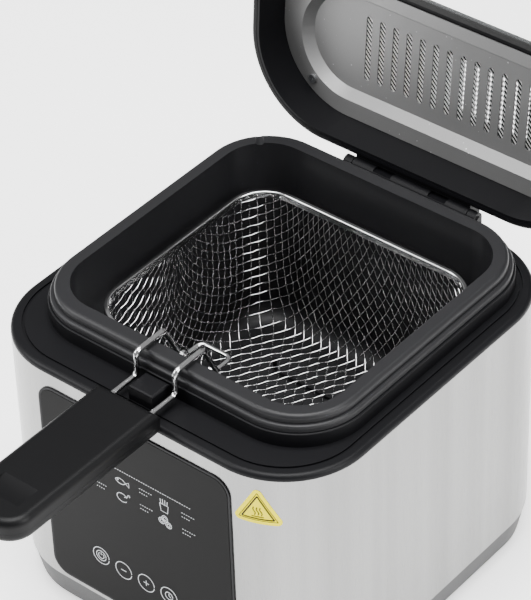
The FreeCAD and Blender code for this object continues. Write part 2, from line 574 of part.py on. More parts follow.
LEG_Y = rim_front - LOOP_R - 0.05
LOOP_Z = BASKET_TOP + 1.0 + LOOP_R + 0.05
LOOP_Y = -55.0
bracket = bent_rod([(-EYE_X, LEG_Y, BASKET_TOP - 16), (-EYE_X, LEG_Y, LOOP_Z), (-EYE_X, LOOP_Y, LOOP_Z),
                    (EYE_X, LOOP_Y, LOOP_Z), (EYE_X, LEG_Y, LOOP_Z), (EYE_X, LEG_Y, BASKET_TOP - 16)],
                   LOOP_R, (1.7, LOOP_BEND, LOOP_BEND, 1.7))
for sx in (-1, 1):
    eye_in = sx * (EYE_X - 1.5)
    eye_out = sx * (EYE_X + 0.7)
    bracket = bracket.fuse(rod(EYE_R, (eye_in, PIVOT_Y, PIVOT_Z), (eye_out, PIVOT_Y, PIVOT_Z)))
bracket = bracket.cut(rod(WIRE_R + 0.06, (-EYE_X - 4, PIVOT_Y, PIVOT_Z), (EYE_X + 4, PIVOT_Y, PIVOT_Z)))
bracket = bracket.cut(parts["basket_rim"])
parts["basket_bracket"] = bracket.removeSplitter()

# ---- basket handle ----
GRIP_END = GRIP_Y0 - 62.0
wires = []
for sx in (-1, 1):
    x = sx * WIRE_X
    wires.append(bent_rod([(x, GRIP_END, WIRE_LOW_Z), (x, WIRE_UP_Y, WIRE_LOW_Z),
        (x, WIRE_UP_Y, WIRE_TOP_Z),
                           (x, WIRE_IN_Y, WIRE_TOP_Z), (x, PIVOT_Y, PIVOT_Z), (sx * 9.0, PIVOT_Y, PIVOT_Z)],
                          WIRE_R, (WIRE_BEND, WIRE_BEND, WIRE_BEND, STUB_BEND)))
parts["handle_wire"] = group(wires)

tip_len = GRIP_Y0 - GRIP_Y1
grip = slab(GRIP_X, tip_len / 2 + 10, 17.0, GRIP_Z0, GRIP_Z1, (GRIP_Y0 + GRIP_Y1) / 2 + 10)
grip = grip.cut(box(-40, GRIP_Y0, 180, 40, GRIP_Y0 + 60, 240))
grip = rounded(grip, GRIP_Z1, 5.0)
grip = rounded(grip, GRIP_Z0, 5.0)
for sx in (-1, 1):
    x = sx * WIRE_X
    grip = grip.cut(rod(WIRE_R + 0.02, (x, GRIP_END - 0.5, WIRE_LOW_Z), (x, GRIP_Y0 + 2, WIRE_LOW_Z)))
grip = grip.cut(box(-9, GRIP_Y0 - 100, GRIP_Z0 + 3.4, 9, GRIP_Y0 - 12, GRIP_Z1 - 3.4))
recess = rod(46.0, (-13, GRIP_Y1 + 26, GRIP_Z1 + 45.2), (13, GRIP_Y1 + 26, GRIP_Z1 + 45.2))
GRIP_SCREWS = [(0, GRIP_Y0 - 6), (0, GRIP_Y1 + 12)]
upper = grip.cut(box(-40, -300, 180, 40, -100, GRIP_SPLIT + 0.05)).cut(recess)
lower = grip.cut(box(-40, -300, GRIP_SPLIT - 0.05, 40, -100, 240))
screws = []
for x, y in GRIP_SCREWS:
    upper = upper.cut(rod(1.5, (x, y, GRIP_Z0), (x, y, GRIP_Z1 - 4)))
    lower = lower.cut(rod(1.6, (x, y, GRIP_Z0 - 1), (x, y, GRIP_Z1)))
    lower = lower.cut(rod(3.3, (x, y, GRIP_Z0 - 1), (x, y, GRIP_Z0 + 2.2)))
    screws.append(screw(x, y, GRIP_Z0 + 2.15, 8.6, 1.48, 3.1, 1.7, False))
parts["grip_upper"] = upper
parts["grip_lower"] = lower
parts["grip_screws"] = group(screws)

os.makedirs("parts", exist_ok=True)
for node, shape in parts.items():
    shape.exportStep("parts/" + node + ".step")
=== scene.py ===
import logging
import math
from dataclasses import dataclass, field
from enum import Enum
from typing import Any, Iterable, Sequence

import bpy
import numpy as np
from mathutils import Matrix, Vector


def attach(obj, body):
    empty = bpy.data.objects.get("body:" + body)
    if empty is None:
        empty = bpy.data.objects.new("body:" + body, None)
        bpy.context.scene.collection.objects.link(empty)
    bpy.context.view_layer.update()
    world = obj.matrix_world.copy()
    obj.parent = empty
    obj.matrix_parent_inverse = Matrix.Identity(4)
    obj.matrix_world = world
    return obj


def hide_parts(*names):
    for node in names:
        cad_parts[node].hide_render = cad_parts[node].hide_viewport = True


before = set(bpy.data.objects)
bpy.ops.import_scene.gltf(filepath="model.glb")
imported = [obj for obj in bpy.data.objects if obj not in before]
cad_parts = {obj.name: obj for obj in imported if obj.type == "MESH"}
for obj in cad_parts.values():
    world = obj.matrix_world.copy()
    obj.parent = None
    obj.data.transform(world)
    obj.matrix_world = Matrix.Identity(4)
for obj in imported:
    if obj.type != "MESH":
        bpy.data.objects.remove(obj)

log = logging.getLogger("fryer")
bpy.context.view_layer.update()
MM = 0.001
FLECK_AND_GLINT_EDGE = 0.04


# ---------------------------------------------------------------- colour and nodes
def linear(code: str) -> tuple[float, float, float, float]:
    """Turns an sRGB hex colour into a linear RGBA value.

    Args:
        code: Six hex digits, with or without a leading hash.

    Returns:
        Linear red, green, blue and an alpha of one.
    """
    code = code.lstrip("#")
    out = []
    for k in (0, 2, 4):
        c = int(code[k:k + 2], 16) / 255
        out.append(c / 12.92 if c <= 0.04045 else ((c + 0.055) / 1.055) ** 2.4)
    return (out[0], out[1], out[2], 1.0)


def add(tree: bpy.types.NodeTree, kind: str, links: dict[str, Any] | None = None, **settings: Any) -> Any:
    """Adds one shader node, sets its properties and sockets, and links its inputs.

    Args:
        tree: The material's node tree.
        kind: Node type name without the ShaderNode prefix.
        links: Input name or index to the output socket that feeds it.
        **settings: Node properties, or input values with spaces written as underscores.

    Returns:
        The new node.
    """
    node = tree.nodes.new("ShaderNode" + kind)
    for key, value in settings.items():
        if hasattr(node, key):
            setattr(node, key, value)
        else:
            node.inputs[key.replace("_", " ")].default_value = value
    for name, socket in (links or {}).items():
        tree.links.new(socket, node.inputs[name])
    return node


class Grain(Enum):
    """How a finish's texture runs, as scale multipliers along X, Y and Z."""

    EVEN = (1.0, 1.0, 1.0)
    VERTICAL = (1.0, 1.0, 0.012)


@dataclass(frozen=True)
class Finish:
    """A surface finish made of a base colour, a fine grain and a broad tone change.

    Attributes:
        name: Material name: the real material and how it is made.
        colour: sRGB hex colour.
        rough: Mean roughness.
        metal: Metallic value.
        grain_mm: Size of the fine grain in millimetres.
        grain: Direction of the fine grain.
        bump: Height of the grain in millimetres.
        swing: How much the grain changes the roughness.
        tone: Share by which the colour drifts over the broad tone change.
        fleck_and_glint: sRGB hex colour of scattered flecks, partly painted glints and highlights, empty for
            none.
        fleck_and_glint_mm: Size of one fleck's cell in millimetres.
        fleck_and_glint_share: Share of cells that hold a fleck.
        gloss: Strength of the plain surface reflection, 0.5 for bare plastic.
        band: Direction of the broad tone change.
        band_mm: Size of the broad tone change in millimetres.
    """

    name: str
    colour: str
    rough: float
    metal: float = 0.0
    grain_mm: float = 0.5
    grain: Grain = Grain.EVEN
    bump: float = 0.01
    swing: float = 0.06
    tone: float = 0.06
    fleck_and_glint: str = ""
    fleck_and_glint_mm: float = 0.5
    fleck_and_glint_share: float = 0.0
    gloss: float = 0.5
    band: Grain = Grain.EVEN
    band_mm: float = 45.0

    def spread(self, tree: bpy.types.NodeTree, coord: Any, size_mm: float, run: Grain) -> Any:
        """Scales the object's own coordinates so that one pattern cell has a real size.

        Args:
            tree: The material's node tree.
            coord: Texture coordinate node.
            size_mm: Size of one cell in millimetres.
            run: Direction of the pattern.

        Returns:
            The scaled vector socket.
        """
        per_metre = 1.0 / (size_mm * MM)
        scale = tuple(per_metre * k for k in run.value)
        return add(tree, "Mapping", {"Vector": coord.outputs["Object"]}, Scale=scale).outputs[0]

    def tint(self, tree: bpy.types.NodeTree, coord: Any) -> Any:
        """Drifts the colour broadly, as painted reflection bands on the steel, and scatters the flecks,
        partly painted glints.

        Args:
            tree: The material's node tree.
            coord: Texture coordinate node.

        Returns:
            The colour socket.
        """
        # broad colour drift; on the stainless steel it runs in strong vertical bands, painted reflections of
        # the studio lights
        broad = add(tree, "TexNoise", {"Vector": self.spread(tree, coord, self.band_mm, self.band)},
                    Scale=1.0, Detail=2.0)
        base = linear(self.colour)
        dark = tuple(c * (1 - self.tone) for c in base[:3]) + (1.0,)
        light = tuple(min(1.0, c * (1 + self.tone)) for c in base[:3]) + (1.0,)
        colour = add(tree, "MixRGB", {"Fac": broad.outputs[0]}, Color1=dark, Color2=light).outputs[0]
        if not self.fleck_and_glint:
            return colour
        # scattered flecks: painted glints for the aluminium's sparkle, and violet flecks that are partly
        # painted highlights on the nonstick
        cells = add(tree, "TexVoronoi", {"Vector": coord.outputs["Object"]}, Scale=1.0 / (self.fleck_and_glint_mm * MM))
        cut = 1.0 - self.fleck_and_glint_share
        pick = add(tree, "MapRange", {"Value": cells.outputs["Color"]}, From_Min=cut,
                   From_Max=min(1.0, cut + FLECK_AND_GLINT_EDGE))
        flecked_and_glinted = add(tree, "MixRGB", {"Fac": pick.outputs[0], "Color1": colour}, Color2=linear(self.fleck_and_glint))
        return flecked_and_glinted.outputs[0]

    def build(self) -> bpy.types.Material:
        """Makes the Blender material for this finish.

        Returns:
            The material.
        """
        mat = bpy.data.materials.new(self.name)
        mat.use_nodes = True
        tree = mat.node_tree
        shader = tree.nodes["Principled BSDF"]
        shader.inputs["Metallic"].default_value = self.metal
        shader.inputs["Specular IOR Level"].default_value = self.gloss
        coord = add(tree, "TexCoord")
        fine = add(tree, "TexNoise", {"Vector": self.spread(tree, coord, self.grain_mm, self.grain)},
                   Scale=1.0, Detail=3.0, Roughness=0.6)
        tree.links.new(self.tint(tree, coord), shader.inputs["Base Color"])
        rough = add(tree, "MapRange", {"Value": fine.outputs[0]}, From_Min=0.3, From_Max=0.7,
                    To_Min=max(0.02, self.rough - self.swing), To_Max=min(1.0, self.rough + self.swing))
        tree.links.new(rough.outputs[0], shader.inputs["Roughness"])
        bump = add(tree, "Bump", {"Height": fine.outputs[0]}, Strength=1.0, Distance=self.bump * MM)
        tree.links.new(bump.outputs[0], shader.inputs["Normal"])
        return mat


@dataclass(frozen=True)
class ClearFinish:
    """Clear glass: lets the background through and keeps a faint surface reflection.

    Attributes:
        name: Material name.
        tint: sRGB hex tint of what passes through.
        share: Part of the light that passes straight through.
    """

    name: str
    tint: str
    share: float

    def build(self) -> bpy.types.Material:
        """Makes the Blender material for this finish.

        Returns:
            The material.
        """
        mat = bpy.data.materials.new(self.name)
        mat.use_nodes = True
        tree = mat.node_tree
        shader = tree.nodes["Principled BSDF"]
        shader.inputs["Base Color"].default_value = linear(self.tint)
        shader.inputs["Metallic"].default_value = 0.0
        shader.inputs["Alpha"].default_value = 1.0 - self.share
        coord = add(tree, "TexCoord")
        smear = add(tree, "TexNoise", {"Vector": coord.outputs["Object"]}, Scale=40.0, Detail=2.0)
        rough = add(tree, "MapRange", {"Value": smear.outputs[0]}, To_Min=0.02, To_Max=0.10)
        tree.links.new(rough.outputs[0], shader.inputs["Roughness"])
        return mat


class Palette:
    """Every finish used on the fryer, built once."""

    FINISHES: tuple[Any, ...] = (
        # vertical scratches spread the light; broad vertical bands of lighter and darker colour run up the
        # sheet, painted reflections of the studio lights
        Finish("stainless_vertical_brushed", "#8A8A89", 0.24, 1.0, 0.25, Grain.VERTICAL, 0.002, 0.09, 0.26,
               band=Grain.VERTICAL, band_mm=20.0),
        # satin moulding with a fine spark-eroded grain that softens every edge light
        Finish("black_pp_satin_moulded", "#08080A", 0.46, grain_mm=0.35, bump=0.006, tone=0.08, gloss=0.12),
        # the same grain on a denser, slightly smoother heat-proof plastic
        Finish("black_bakelite_satin_moulded", "#070708", 0.42, grain_mm=0.4, bump=0.006, tone=0.08,
               gloss=0.12),
        # a coarser texture that scatters light, so the base looks charcoal rather than black
        Finish("dark_plinth_pp_textured", "#232324", 0.55, bump=0.015, tone=0.08),
        # sprayed nonstick: dark, faintly violet flecks, partly real flecks and partly painted highlights
        # standing for the coating's purple shimmer, drawn coarser than real so that they show
        Finish("nonstick_flecked_painted_shimmer", "#101012", 0.48, grain_mm=0.3, bump=0.006, swing=0.05, tone=0.08,
               fleck_and_glint="#3A3650", fleck_and_glint_mm=0.35, fleck_and_glint_share=0.05, gloss=0.26),
        # blasted aluminium: an even grey with light flecks at single grains, painted glints standing for its
        # sparkle
        Finish("aluminium_bead_blasted", "#808080", 0.55, 0.85, 0.3, bump=0.004, swing=0.08, tone=0.05,
               fleck_and_glint="#DADADA", fleck_and_glint_mm=0.6, fleck_and_glint_share=0.05),
        # chrome plating: near-mirror wires that flash bright and dark along their length
        Finish("wire_bright_chromed", "#C2C2C3", 0.16, 1.0, 1.5, bump=0.002, swing=0.05, tone=0.04),
        # slit and stretched aluminium: each strand twists and catches the light
        Finish("filter_aluminium_expanded", "#F2F2F2", 0.38, 1.0, 0.6, bump=0.004, swing=0.08, tone=0.10),
        # dark tinted glass with a soft sheen instead of a hard mirror
        Finish("panel_tinted_gloss_glass", "#050505", 0.34, grain_mm=2.0, bump=0.0005, swing=0.03, tone=0.03,
               gloss=0.045),
        # screen-printed marks, flat and slightly chalky
        Finish("print_pale_grey_ink", "#B9BCBF", 0.5, grain_mm=0.3, bump=0.001, swing=0.05, tone=0.04),
        Finish("print_black_ink", "#0A0A0A", 0.5, grain_mm=0.3, bump=0.001, swing=0.05, tone=0.04,
               gloss=0.15),
        # printed vinyl film: strong yellow with almost no shine
        Finish("vinyl_yellow_printed", "#E4D600", 0.6, bump=0.002, swing=0.05, tone=0.03, gloss=0.02),
        # moulded rubber: dull and soft-edged
        Finish("rubber_black_moulded", "#0D0D0D", 0.7, grain_mm=0.4, swing=0.05, tone=0.08),
        # zinc plating: cool grey with a slightly cloudy shine
        Finish("steel_zinc_plated", "#A9ABAD", 0.34, 1.0, 0.6, bump=0.003, swing=0.08, tone=0.10),
        # raw casting skin: rough and uneven
        Finish("aluminium_die_cast", "#A7A8AA", 0.5, 1.0, 0.8, bump=0.02, swing=0.08, tone=0.10),
        # heated sheath: brownish grey oxide with patchy tone
        Finish("element_sheath_oxidised", "#4A4642", 0.55, 0.8, 0.6, swing=0.08, tone=0.15),
        # green lacquer over copper and glass weave
        Finish("board_green_solder_mask", "#1F5A33", 0.4, grain_mm=1.0, tone=0.10),
        # polished mould: a small bright red button
        Finish("button_red_gloss_moulded", "#9E1512", 0.3, grain_mm=0.6, bump=0.002, swing=0.04, tone=0.05),
        # toughened glass: almost invisible, with faint smears in its shine
        ClearFinish("window_tempered_clear", "#F4F8F8", 0.93),
    )

    def __init__(self) -> None:
        """Builds every material."""
        self.made = {finish.name: finish.build() for finish in self.FINISHES}

    def paint(self, obj: bpy.types.Object, name: str) -> None:
        """Gives an object one finish on all its slots.

        Args:
            obj: Mesh object to paint.
            name: Finish name.
        """
        mats = obj.data.materials
        if not mats:
            mats.append(self.made[name])
        for i in range(len(mats)):
            mats[i] = self.made[name]


# ---------------------------------------------------------------- mesh building
class Build:
    """Small mesh makers shared by the sub-assemblies."""

    @staticmethod
    def mesh(name: str, verts: np.ndarray, faces: Sequence[Sequence[int]],
             smooth: bool = True) -> bpy.types.Object:
        """Makes a mesh object from vertices and faces.

        Args:
            name: Piece name.
            verts: Vertex positions in metres, one row each.
            faces: Vertex indices of each face.
            smooth: Whether faces are shaded smooth.

        Returns:
            The linked object.
        """
        data = bpy.data.meshes.new(name)
        data.from_pydata([tuple(v) for v in verts], [], faces)
        data.update()
        if smooth:
            data.polygons.foreach_set("use_smooth", [True] * len(data.polygons))
        obj = bpy.data.objects.new(name, data)
        bpy.context.scene.collection.objects.link(obj)
        return obj

    @staticmethod
    def frames(line: np.ndarray) -> tuple[np.ndarray, np.ndarray]:
        """Two unit vectors across a polyline at each point, turned as little as possible.

        Args:
            line: Points, one row each.

        Returns:
            The side and the over vectors, one row per point.
        """
        tangent = np.gradient(line, axis=0)
        tangent /= np.linalg.norm(tangent, axis=1)[:, None]
        side = np.zeros_like(line)
        guess = np.array([0.0, 0.0, 1.0]) if abs(tangent[0][2]) < 0.9 else np.array([1.0, 0.0, 0.0])
        for i, t in enumerate(tangent):
            guess = guess - t * np.dot(guess, t)
            guess /= np.linalg.norm(guess)
            side[i] = guess
        return side, np.cross(tangent, side)

    @classmethod
    def tubes(cls, name: str, lines: Iterable[np.ndarray], radius: float, sides: int) -> bpy.types.Object:
        """Closed round tubes along polylines, all in one piece.

        Args:
            name: Piece name.
            lines: Point rows in metres for each tube.
            radius: Tube radius in metres.
            sides: Number of flats round the tube.

        Returns:
            The linked object.
        """
        verts: list[np.ndarray] = []
        faces: list[tuple[int, ...]] = []
        start = 0
        turn = np.arange(sides) * 2 * math.pi / sides
        for line in lines:
            side, over = cls.frames(line)
            ring = line[:, None, :] + radius * (np.cos(turn)[None, :, None] * side[:, None, :]
                                                + np.sin(turn)[None, :, None] * over[:, None, :])
            verts.append(ring.reshape(-1, 3))
            n = len(line)
            for i in range(n - 1):
                a = start + i * sides
                for k in range(sides):
                    m = (k + 1) % sides
                    faces.append((a + k, a + m, a + sides + m, a + sides + k))
            faces.append(tuple(start + k for k in reversed(range(sides))))
            faces.append(tuple(start + (n - 1) * sides + k for k in range(sides)))
            start += n * sides
        return cls.mesh(name, np.concatenate(verts), faces)

    @classmethod
    def ribbons(cls, name: str, lines: Iterable[np.ndarray], width: float, lift: float) -> bpy.types.Object:
        """Thin flat printed strokes on the front panel's plane, drawn in X and Z and raised towards -Y.

        Args:
            name: Piece name.
            lines: Rows of (x, y, z) in metres on the panel face.
            width: Stroke width in metres.
            lift: Stroke thickness in metres.

        Returns:
            The linked object.
        """
        verts: list[Sequence[float]] = []
        faces: list[tuple[int, ...]] = []
        for line in lines:
            n = len(line)
            tangent = np.gradient(line, axis=0)
            tangent /= np.linalg.norm(tangent, axis=1)[:, None]
            across = np.stack([tangent[:, 2], np.zeros(n), -tangent[:, 0]], axis=1) * width / 2
            up = np.array([0.0, -lift, 0.0])
            base = len(verts)
            for i in range(n):
                low, high = line[i] - across[i], line[i] + across[i]
                verts += [low, high, high + up, low + up]
            for i in range(n - 1):
                a = base + 4 * i
                for k in range(4):
                    m = (k + 1) % 4
                    faces.append((a + k, a + m, a + 4 + m, a + 4 + k))
            faces.append((base + 3, base + 2, base + 1, base))
            e = base + 4 * (n - 1)
            faces.append((e, e + 1, e + 2, e + 3))
        return cls.mesh(name, np.array(verts), faces, smooth=False)


# ---------------------------------------------------------------- basket
@dataclass(frozen=True)
class BasketSizes:
    """Sizes of the wire basket in millimetres.

    Attributes:
        half_x: Half width at the rim.
        half_y: Half depth at the rim.
        corner: Corner radius at the rim.
        mid_y: Where the basket's middle lies along Y.
        floor: Height of the floor.
        top: Height where the wires end under the rim.
        lean: How far a wall leans out over its height.
        fold: Radius between floor and wall.
        cells_x: Half cells of the lattice from the middle to a corner, along X.
        cells_y: The same along Y.
        wire: Wire radius.
        crimp: How far a wire rises over each crossing.
        span: Crossings from the middle to the end of the flat weave.
        easing: Rounds of easing that share out the shear.
        samples: Points along a wire between two crossings.
        narrowest: Least width of a sheared cell, as a share of the pitch.
        steps: Rounds that settle each new crossing.
        margin: Weave above the top that still takes part in the easing.
    """

    half_x: float = 90.5
    half_y: float = 82.9
    corner: float = 26.1
    mid_y: float = 12.4
    floor: float = 88.9
    top: float = 192.3
    lean: float = 4.5
    fold: float = 11.0
    cells_x: int = 19
    cells_y: int = 11
    wire: float = 0.37
    crimp: float = 0.40
    span: int = 36
    easing: int = 60
    samples: int = 4
    narrowest: float = 0.12
    steps: int = 12
    margin: float = 30.0


class Basket:
    """The woven wire basket: one flat weave pushed into a bucket, where it shears but doesn't stretch."""

    def __init__(self, sizes: BasketSizes, palette: Palette) -> None:
        """Works out the bucket's side profile and its straight-sided core."""
        self.s = sizes
        self.palette = palette
        self.tilt = math.atan(sizes.lean / (sizes.top - sizes.floor))
        self.round = sizes.corner - sizes.lean / 2 - sizes.fold
        self.core = np.array([sizes.half_x, sizes.half_y]) - sizes.lean - sizes.fold - self.round
        self.full = math.pi / 2 - self.tilt
        self.foot = np.array([self.round + sizes.fold * math.sin(self.full),
                              sizes.floor + sizes.fold * (1 - math.cos(self.full))])
        self.rise = np.array([math.sin(self.tilt), math.cos(self.tilt)])
        self.corner = self.core + self.round * math.sqrt(0.5)
        self.half_cell = self.corner / (sizes.cells_x, sizes.cells_y)
        self.pitch = float(np.linalg.norm(self.half_cell))

    def settle(self, points: np.ndarray) -> tuple[np.ndarray, np.ndarray]:
        """Moves points to the nearest place on the bucket.

        Args:
            points: Positions in millimetres about the basket's middle, any shape ending in three.

        Returns:
            The settled points and the outward normals there.
        """
        s = self.s
        near = np.clip(points[..., :2], -self.core, self.core)
        out = points[..., :2] - near
        reach = np.linalg.norm(out, axis=-1)
        out = out / np.maximum(reach, 1e-9)[..., None]
        height = points[..., 2]
        climb = (reach - self.foot[0]) * self.rise[0] + (height - self.foot[1]) * self.rise[1]
        turn = np.clip(np.arctan2(reach - self.round, s.floor + s.fold - height), 0, self.full)
        level = (reach <= self.round) & (height < s.floor + 3 * s.fold)
        turn = np.where(climb > 0, self.full, np.where(level, 0.0, turn))
        span = np.where(level, reach, self.round + s.fold * np.sin(turn))
        lift = s.floor + s.fold * (1 - np.cos(turn))
        span = np.where(climb > 0, self.foot[0] + climb * self.rise[0], span)
        lift = np.where(climb > 0, self.foot[1] + climb * self.rise[1], lift)
        place = np.concatenate([near + out * span[..., None], lift[..., None]], axis=-1)
        normal = np.concatenate([out * np.sin(turn)[..., None], -np.cos(turn)[..., None]], axis=-1)
        return place, normal

    def corner_wire(self, start: tuple[float, float], side_x: int, side_y: int, count: int) -> np.ndarray:
        """Crossings along a wire that crosses the floor to one corner and climbs it.

        Args:
            start: First crossing on the floor.
            side_x: Which side of the basket the corner is on, 1 or -1.
            side_y: Front or back corner, -1 or 1.
            count: Number of crossings.

        Returns:
            The crossings, one row each.
        """
        s = self.s
        first = np.array(start)
        corner = self.corner * (side_x, side_y)
        steps = round(float(np.linalg.norm(corner - first)) / self.pitch)
        index = np.arange(count)
        run = np.maximum(index - steps, 0) * self.pitch
        turn = np.clip(run / s.fold, 0, self.full)
        climb = np.maximum(run - s.fold * self.full, 0)
        span = s.fold * np.sin(turn) + climb * self.rise[0]
        lift = s.floor + s.fold * (1 - np.cos(turn)) + climb * self.rise[1]
        flat = first + (corner - first) * (np.minimum(index, steps) / steps)[:, None]
        out = np.array([side_x, side_y]) * math.sqrt(0.5)
        return np.concatenate([flat + out * span[:, None], lift[:, None]], axis=1)

    def wedge(self, first: np.ndarray, second: np.ndarray) -> np.ndarray:
        """Fills the weave between two corner wires, one pitch from crossing to crossing.

        Args:
            first: Crossings along one corner wire.
            second: Crossings along the next corner wire.

        Returns:
            A square grid of crossings.
        """
        n = len(first)
        least = (self.s.narrowest * self.pitch) ** 2
        grid = np.zeros((n, n, 3))
        grid[:, 0], grid[0, :] = first, second
        for k in range(2, 2 * n - 1):
            i = np.arange(max(1, k - n + 1), min(k - 1, n - 1) + 1)
            j = k - i
            left, right, behind = grid[i - 1, j], grid[i, j - 1], grid[i - 1, j - 1]
            middle = (left + right) / 2
            across = right - left
            gap = np.linalg.norm(across, axis=1)
            across = across / gap[:, None]
            ahead = np.sqrt(np.maximum(self.pitch ** 2 - gap ** 2 / 4, least))
            guess = left + right - behind
            for _ in range(self.s.steps):
                way = self.settle(guess)[0] - middle
                way = way - (way * across).sum(axis=1)[:, None] * across
                way = way / np.linalg.norm(way, axis=1)[:, None]
                guess = middle + ahead[:, None] * way
            grid[i, j] = self.settle(guess)[0]
        return grid

    def net(self) -> tuple[np.ndarray, np.ndarray]:
        """Every crossing of the weave, eased so that the shear is shared.

        Returns:
            The crossings and the outward normals there.
        """
        s = self.s
        m = s.span
        k = (s.cells_x - s.cells_y) // 2
        wide, tall = m - k + 1, m + k + 1
        side = (2 * k * self.half_cell[0], 0.0)
        ahead = (0.0, -2 * k * self.half_cell[1])
        east = self.wedge(self.corner_wire(side, 1, 1, wide), self.corner_wire(side, 1, -1, wide))
        north = self.wedge(self.corner_wire(ahead, 1, 1, tall), self.corner_wire(ahead, -1, 1, tall))
        turned = np.array([-1.0, -1.0, 1.0])
        grid = np.zeros((2 * m + 1, 2 * m + 1, 3))
        grid[m - k:, m + k::-1] = north
        grid[m + k::-1, m - k:] = north * turned
        grid[m + k:, m + k:] = east
        grid[m - k::-1, m - k::-1] = east * turned
        for _ in range(s.easing):
            mean = (grid[2:, 1:-1] + grid[:-2, 1:-1] + grid[1:-1, 2:] + grid[1:-1, :-2]) / 4
            held = grid[1:-1, 1:-1]
            free = (held[..., 2] < s.top + s.margin)[..., None]
            grid[1:-1, 1:-1] = np.where(free, 0.5 * held + 0.5 * mean, held)
            grid = self.settle(grid)[0]
        return self.settle(grid)

    def wires(self, first: bool) -> list[np.ndarray]:
        """Centre lines of one family of wires.

        Args:
            first: True for the warp, False for the weft.

        Returns:
            One polyline per wire, in metres.
        """
        s = self.s
        grid, normal = self.net()
        if not first:
            grid, normal = grid.transpose(1, 0, 2), normal.transpose(1, 0, 2)
        out = []
        steps = np.arange(s.samples) / s.samples
        for row in range(grid.shape[0]):
            inside = np.flatnonzero(grid[row, :, 2] <= s.top)
            if len(inside) < 2:
                continue
            for part in np.split(inside, np.flatnonzero(np.diff(inside) > 1) + 1):
                lo, hi = max(part[0] - 2, 0), min(part[-1] + 3, grid.shape[1])
                knots, tips = grid[row, lo:hi], normal[row, lo:hi]
                if len(knots) < 4:
                    continue
                t = (np.arange(len(knots) - 3)[:, None] + steps[None, :]).ravel()
                k = t.astype(int)
                f = (t - k)[:, None]
                p0, p1, p2, p3 = knots[k], knots[k + 1], knots[k + 2], knots[k + 3]
                line = 0.5 * (2 * p1 + (p2 - p0) * f + (2 * p0 - 5 * p1 + 4 * p2 - p3) * f ** 2
                              + (3 * p1 - p0 - 3 * p2 + p3) * f ** 3)
                up = tips[k + 1] * (1 - f) + tips[k + 2] * f
                sign = np.cos(math.pi * (t + 1 + lo + row)) * (1 if first else -1)
                line = line + up * (sign * s.crimp)[:, None]
                keep = np.flatnonzero(line[:, 2] <= s.top)
                if len(keep) > 4:
                    line = line[keep[0]:keep[-1] + 1] + (0.0, s.mid_y, 0.0)
                    out.append(line * MM)
        return out

    def build(self) -> list[bpy.types.Object]:
        """Makes the two wire families that stand in for the plain CAD mesh.

        Returns:
            The warp and the weft.
        """
        made = []
        for name, first in (("basket_weave_warp", True), ("basket_weave_weft", False)):
            piece = Build.tubes(name, self.wires(first), self.s.wire * MM, 6)
            self.palette.paint(piece, "wire_bright_chromed")
            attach(piece, "basket")
            made.append(piece)
        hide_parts("basket_mesh")
        return made


# ---------------------------------------------------------------- lid details
@dataclass(frozen=True)
class HingeSizes:
    """The lid's hinge line, open angle and filter strands, in millimetres."""

    y: float = 141.5
    z: float = 200.0
    open_deg: float = 95.0
    half_x: float = 76.0
    front: float = 47.0
    back: float = 106.0
    level: float = 234.5
    strand: float = 0.5
    strand_pitch: float = 3.5
    strand_points: int = 22


class Lid:
    """Pieces of the lid that are drawn closed and swung open."""

    def __init__(self, sizes: HingeSizes, palette: Palette) -> None:
        """Keeps the hinge sizes and the finishes."""
        self.s = sizes
        self.palette = palette

    def opened(self, points: np.ndarray) -> np.ndarray:
        """Swings points in millimetres from the closed to the open lid.

        Args:
            points: Positions with the lid shut, one row each.

        Returns:
            The same positions with the lid open.
        """
        a = math.radians(-self.s.open_deg)
        rel = points - np.array([0.0, self.s.y, self.s.z])
        y = rel[:, 1] * math.cos(a) - rel[:, 2] * math.sin(a)
        z = rel[:, 1] * math.sin(a) + rel[:, 2] * math.cos(a)
        return np.stack([rel[:, 0], y + self.s.y, z + self.s.z], axis=1)

    def filter_lattice(self) -> bpy.types.Object:
        """Slanting strands of the expanded metal filter behind the slots.

        Returns:
            The strands as one piece.
        """
        s = self.s
        lines = []
        length = s.back - s.front
        for k in np.arange(-s.half_x - length, s.half_x, s.strand_pitch):
            y = np.linspace(s.front, s.back, s.strand_points)
            x = k + (y - s.front)
            pts = np.stack([x, y, np.full_like(y, s.level)], axis=1)[np.abs(x) < s.half_x]
            if len(pts) > 3:
                lines.append(self.opened(pts) * MM)
        piece = Build.tubes("filter_strands", lines, s.strand * MM, 6)
        self.palette.paint(piece, "filter_aluminium_expanded")
        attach(piece, "lid")
        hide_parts("filter_mesh")
        return piece

    def build(self) -> list[bpy.types.Object]:
        """Makes the lid's drawn pieces."""
        return [self.filter_lattice()]


# ---------------------------------------------------------------- panel print
@dataclass(frozen=True)
class PanelSizes:
    """Where the printed marks sit on the front panel, in millimetres.

    Attributes:
        face_y: The panel's face.
        stroke: Stroke width.
        thick: Stroke thickness.
        rule: Left end, right end and height of the dotted rule.
        rule_dot: Length of one dot of the rule.
        rule_pitch: Distance between dots of the rule.
        fish, leg, fries, rings: Where each food icon sits.
        beside: From an icon's middle to its setting rows.
        left_rows: Where the rows at the left edge start.
        power: Where the power sign sits.
        keys_x: Where the three touch rings sit.
        keys_z: Height of the touch rings.
        ring: Radius of the power sign and the touch rings.
    """

    face_y: float = -135.12
    stroke: float = 0.5
    thick: float = 0.05
    rule: tuple[float, float, float] = (-46.0, 45.0, 147.6)
    rule_dot: float = 1.1
    rule_pitch: float = 1.9
    fish: tuple[float, float] = (-10.5, 139.0)
    leg: tuple[float, float] = (-10.6, 125.8)
    fries: tuple[float, float] = (23.2, 138.1)
    rings: tuple[float, float] = (23.2, 124.8)
    beside: float = 14.0
    left_rows: tuple[float, float] = (-32.0, 127.8)
    power: tuple[float, float] = (-33.4, 63.9)
    keys_x: tuple[float, float, float] = (-14.8, 3.8, 22.4)
    keys_z: float = 62.0
    ring: float = 6.6


